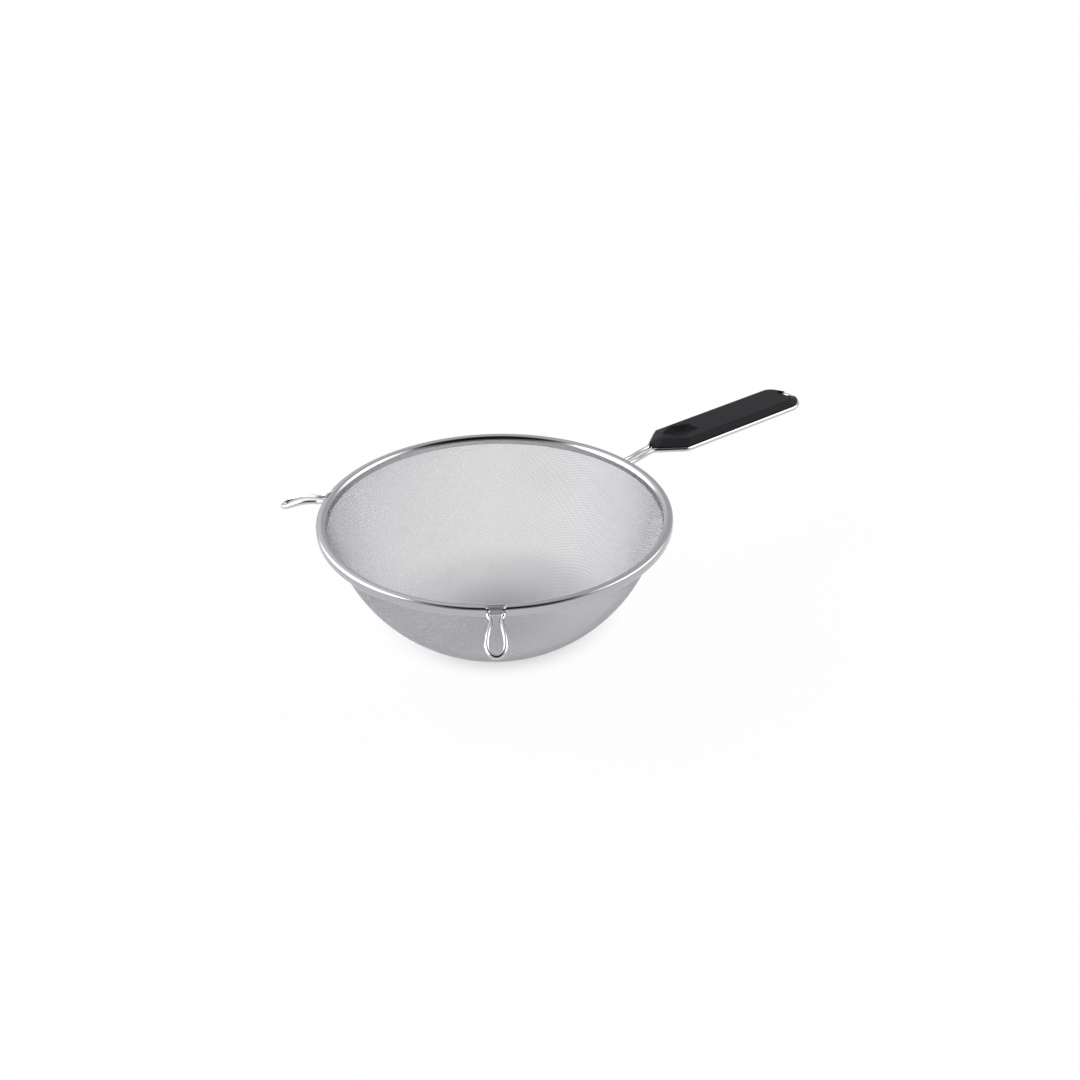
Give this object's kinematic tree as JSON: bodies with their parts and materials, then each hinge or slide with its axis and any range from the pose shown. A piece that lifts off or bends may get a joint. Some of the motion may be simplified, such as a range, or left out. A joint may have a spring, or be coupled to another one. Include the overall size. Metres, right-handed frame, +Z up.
{
  "type": "fine mesh strainer",
  "caption": "Round fine mesh strainer: deep wire-cloth bowl clamped in a rolled steel rim, with looped rest ears and a forked wire handle around a flat faceted black grip.",
  "frame": {"origin": "middle of the small flat under the bowl, on the bowl's axis", "axes": "+Z up along the bowl's axis, +X along the handle, level with the table"},
  "size_m": [0.3469, 0.2061, 0.086],
  "materials": {
    "wire_cloth": "fine plain-woven stainless wire cloth",
    "rolled_sheet": "polished stainless sheet",
    "round_wire": "polished stainless wire",
    "black_plastic": "satin moulded plastic"
  },
  "bodies": {
    "root": {"mesh_bowl": "wire_cloth", "rim_bead": "rolled_sheet", "ear_left": "round_wire", "ear_right": "round_wire", "handle_wire": "round_wire", "grip": "black_plastic"}
  },
  "joints": []
}
